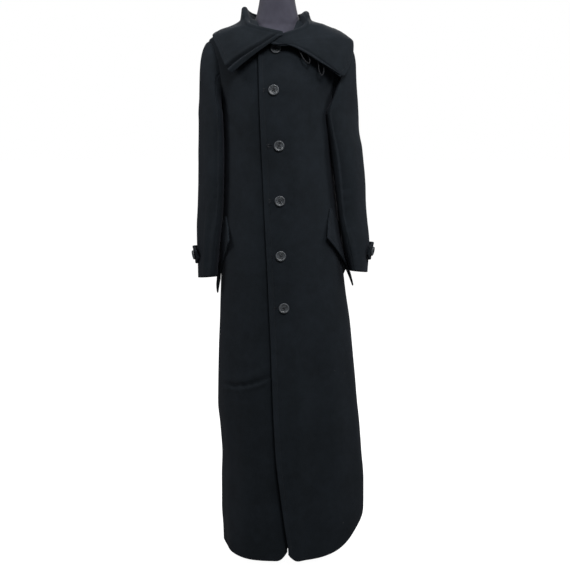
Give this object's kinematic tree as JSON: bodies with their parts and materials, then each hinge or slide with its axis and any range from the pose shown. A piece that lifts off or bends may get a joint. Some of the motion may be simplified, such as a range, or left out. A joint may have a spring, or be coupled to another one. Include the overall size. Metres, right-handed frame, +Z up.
{
  "type": "overcoat on a dress form",
  "caption": "Ankle-length single-breasted overcoat with a wide fold-over collar, pocket flaps and cuff tabs, buttoned on a limbless dress form with a pole and a cross base.",
  "frame": {"origin": "on the floor, at the middle of the cross base's underside, under the form's pole", "axes": "+Z up along the pole, the coat's front faces -Y, the wearer's left is at +X"},
  "size_m": [0.4892, 0.3544, 1.502],
  "materials": {
    "cloth": "matte napped wool melton",
    "button": "mottled horn, soft gloss",
    "form": "stretched jersey cover",
    "steel": "satin dark paint"
  },
  "bodies": {
    "root": {"left_front": "cloth", "right_front": "cloth", "back": "cloth", "right_sleeve_upper": "cloth", "right_sleeve_under": "cloth", "left_sleeve_upper": "cloth", "left_sleeve_under": "cloth", "collar": "cloth", "right_flap": "cloth", "left_flap": "cloth", "right_cuff_tab": "cloth", "left_cuff_tab": "cloth", "collar_loop_1": "cloth", "collar_loop_2": "cloth", "button_1": "button", "button_2": "button", "button_3": "button", "button_4": "button", "button_5": "button", "button_6": "button", "right_cuff_button": "button", "left_cuff_button": "button", "form_torso": "form", "form_pole": "steel", "form_base": "steel"}
  },
  "joints": []
}
